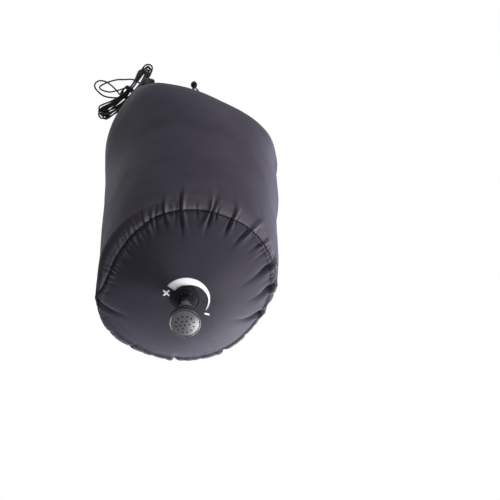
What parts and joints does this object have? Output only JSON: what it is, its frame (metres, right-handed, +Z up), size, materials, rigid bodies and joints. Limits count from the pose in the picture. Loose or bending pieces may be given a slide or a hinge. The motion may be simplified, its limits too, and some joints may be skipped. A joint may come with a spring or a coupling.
{
  "type": "camp shower bag",
  "caption": "Roll-top hanging water bag with a strap buckle, a hanging cord in a hank and a twist-to-open shower head in its round base.",
  "frame": {"origin": "underside of the closed buckle at its middle, where the filled bag hangs", "axes": "+Z up while the bag hangs full, X along the rolled top with +X on the buckle plug's side, the shower head points along -Z"},
  "size_m": [0.2542, 0.2034, 0.6423],
  "materials": {
    "coated_cloth": "black coated nylon, soft sheen",
    "base_cloth": "black coated nylon, satin",
    "binding": "woven binding tape",
    "seam_tape": "heat-pressed seam tape",
    "stiffener": "flexible plastic strip",
    "webbing": "woven 20 mm webbing",
    "buckle_plastic": "moulded acetal",
    "spout_plastic": "moulded",
    "nut_plastic": "moulded",
    "head_plastic": "polished black",
    "face_plastic": "satin, with pin holes",
    "rubber_seal": "soft seal",
    "cord": "braided"
  },
  "bodies": {
    "bag": {"bag_wall": "coated_cloth", "base_panel": "base_cloth", "seam_binding": "binding", "side_seam_tape": "seam_tape", "rolled_top": "coated_cloth", "stiffener_strip": "stiffener", "strap_socket_side": "webbing", "strap_plug_side": "webbing", "buckle_socket": "buckle_plastic", "spout": "spout_plastic", "spout_inner_washer": "rubber_seal", "spout_outer_washer": "rubber_seal", "lock_nut": "nut_plastic", "cord_knot": "cord", "cord_bight": "cord", "cord_tail": "cord", "cord_lead": "cord", "cord_hank": "cord", "cord_wrap": "cord", "cord_loose_loops": "cord", "cord_end": "cord"},
    "seal": {"head_seal": "rubber_seal"},
    "head": {"shower_head": "head_plastic", "spray_face": "face_plastic", "valve_plug": "rubber_seal", "plug_carrier": "head_plastic"},
    "plug": {"buckle_plug": "buckle_plastic"},
    "prong_front": {"buckle_prong_front": "buckle_plastic"},
    "prong_back": {"buckle_prong_back": "buckle_plastic"}
  },
  "joints": [
    {"name": "head_travel", "type": "slide", "parent": "bag", "child": "seal", "axis": [0, 0, -1], "range_m": [0, 0.002]},
    {"name": "head_turn", "type": "hinge", "parent": "seal", "child": "head", "pos_m": [-0.013, 0, -0.497], "axis": [0, 0, -1], "range_deg": [0, 180]},
    {"name": "buckle_release", "type": "slide", "parent": "bag", "child": "plug", "axis": [1, 0, 0], "range_m": [0, 0.02], "deforming": ["strap_plug_side"]},
    {"name": "prong_back_squeeze", "type": "hinge", "parent": "plug", "child": "prong_back", "pos_m": [0.0072, 0.008, 0.0042], "axis": [0, 0, 1], "range_deg": [0, 8], "stiffness_Nm_per_rad": 0.15},
    {"name": "prong_front_squeeze", "type": "hinge", "parent": "plug", "child": "prong_front", "pos_m": [0.0072, -0.008, 0.0042], "axis": [0, 0, -1], "range_deg": [0, 8], "stiffness_Nm_per_rad": 0.15}
  ],
  "couplings": [
    {"joint": "head_turn", "follows": "head_travel", "rad_per_m": 1570.8},
    {"joint": "prong_front_squeeze", "follows": "prong_back_squeeze", "ratio": 1}
  ]
}
